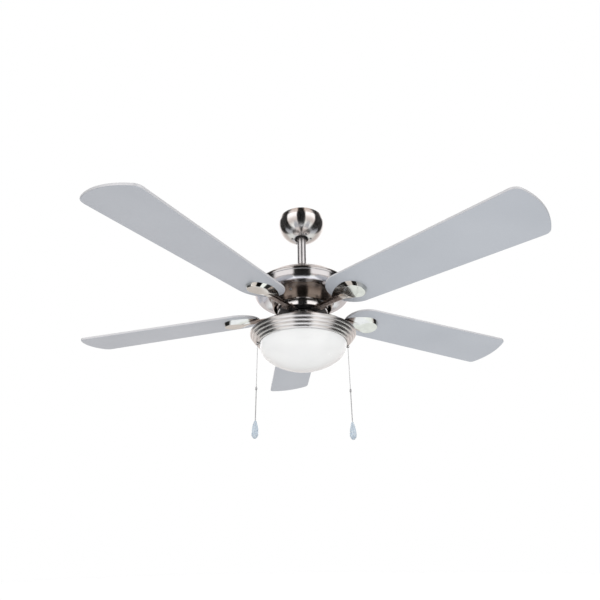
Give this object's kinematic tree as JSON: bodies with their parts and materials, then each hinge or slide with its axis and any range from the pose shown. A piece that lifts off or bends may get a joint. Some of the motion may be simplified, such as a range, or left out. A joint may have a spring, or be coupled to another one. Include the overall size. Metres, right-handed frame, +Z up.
{
  "type": "ceiling fan with light",
  "caption": "Five-blade ceiling fan on a downrod, with a domed canopy, satin nickel motor housing, ribbed light kit with an opal glass bowl, and pull chains.",
  "frame": {"origin": "on the ceiling, on the fan's axis: centre of the bracket's two slotted bolt holes, on its top face", "axes": "+Z up out of the ceiling face, +X along the bracket and near the pull chain on the right, +Y to the back, where the reversing switch is"},
  "size_m": [1.2536, 1.2285, 0.644],
  "materials": {
    "zinc_steel": "zinc-plated sheet and turned steel",
    "satin_nickel": "satin nickel plate, softly brushed",
    "screw_steel": "nickel-plated screw",
    "black_plastic": "black moulded plastic",
    "white_plastic": "white moulded plastic",
    "cable_sheath": "grey cable sheath",
    "cast_aluminium": "die-cast aluminium",
    "shaft_steel": "ground steel",
    "lamination_steel": "varnished lamination steel",
    "copper_winding": "enamelled copper wire",
    "silver_board": "silver-grey lacquered fibreboard, satin",
    "opal_glass": "white opal glass, satin",
    "bulb_glass": "frosted bulb glass",
    "bulb_cap_metal": "bulb cap",
    "lamp_plate_white": "white painted reflector",
    "capacitor_black": "moulded capacitor box",
    "chain_metal": "nickel-plated bead chain",
    "pendant_clear": "pale translucent plastic"
  },
  "bodies": {
    "ceiling_mount": {"hanger_bracket": "zinc_steel", "canopy": "satin_nickel", "canopy_screws": "screw_steel", "terminal_block": "white_plastic", "supply_leads": "cable_sheath"},
    "hanging_frame": {"ball_pin": "screw_steel", "bulb_caps": "bulb_cap_metal", "bulbs": "bulb_glass", "capacitor": "capacitor_black", "downrod": "satin_nickel", "hanger_ball": "black_plastic", "housing_cover": "satin_nickel", "housing_shell": "satin_nickel", "housing_spider": "zinc_steel", "kit_nut": "screw_steel", "kit_plate": "zinc_steel", "lamp_bracket": "zinc_steel", "lamp_holders": "white_plastic", "lamp_plate": "lamp_plate_white", "light_pan": "satin_nickel", "light_switch": "black_plastic", "motor_shaft": "shaft_steel", "motor_yoke": "zinc_steel", "nozzle_nuts": "satin_nickel", "panel_screws": "screw_steel", "reverse_switch": "black_plastic", "rod_leads": "cable_sheath", "set_screws": "screw_steel", "speed_switch": "black_plastic", "stator_core": "lamination_steel", "stator_windings": "copper_winding", "trim_ring": "satin_nickel", "yoke_bolt": "screw_steel", "yoke_clip": "screw_steel", "yoke_cover": "satin_nickel"},
    "rotor": {"rotor_upper_bell": "cast_aluminium", "rotor_lower_bell": "satin_nickel", "rotor_cage": "lamination_steel", "bearings": "shaft_steel", "bell_screws": "screw_steel", "iron_screws": "satin_nickel", "blade_screws": "screw_steel", "blade_iron_1": "satin_nickel", "blade_iron_2": "satin_nickel", "blade_iron_3": "satin_nickel", "blade_iron_4": "satin_nickel", "blade_iron_5": "satin_nickel", "blade_1": "silver_board", "blade_2": "silver_board", "blade_3": "silver_board", "blade_4": "silver_board", "blade_5": "silver_board"},
    "glass": {"glass_bowl": "opal_glass"},
    "speed_pull": {"speed_chain": "chain_metal", "speed_chain_coupling": "chain_metal", "speed_pendant": "pendant_clear"},
    "light_pull": {"light_chain": "chain_metal", "light_chain_coupling": "chain_metal", "light_pendant": "pendant_clear"},
    "reverse_knob": {"reverse_slider": "black_plastic"}
  },
  "joints": [
    {"name": "ball_tilt", "type": "hinge", "parent": "ceiling_mount", "child": "hanging_frame", "pos_m": [0, 0, -0.046], "axis": [1, 0, 0], "range_deg": [-10, 10]},
    {"name": "rotor_spin", "type": "hinge", "parent": "hanging_frame", "child": "rotor", "pos_m": [0, 0, -0.27], "axis": [0, 0, 1], "continuous": true},
    {"name": "glass_twist", "type": "hinge", "parent": "hanging_frame", "child": "glass", "pos_m": [0, 0, -0.39], "axis": [0, 0, 1], "range_deg": [0, 20]},
    {"name": "speed_chain_pull", "type": "slide", "parent": "hanging_frame", "child": "speed_pull", "axis": [0, 0, -1], "range_m": [0, 0.01], "stiffness_N_per_m": 250},
    {"name": "light_chain_pull", "type": "slide", "parent": "hanging_frame", "child": "light_pull", "axis": [0, 0, -1], "range_m": [0, 0.01], "stiffness_N_per_m": 250},
    {"name": "reverse_slide", "type": "slide", "parent": "hanging_frame", "child": "reverse_knob", "axis": [1, 0, 0], "range_m": [0, 0.008]}
  ]
}
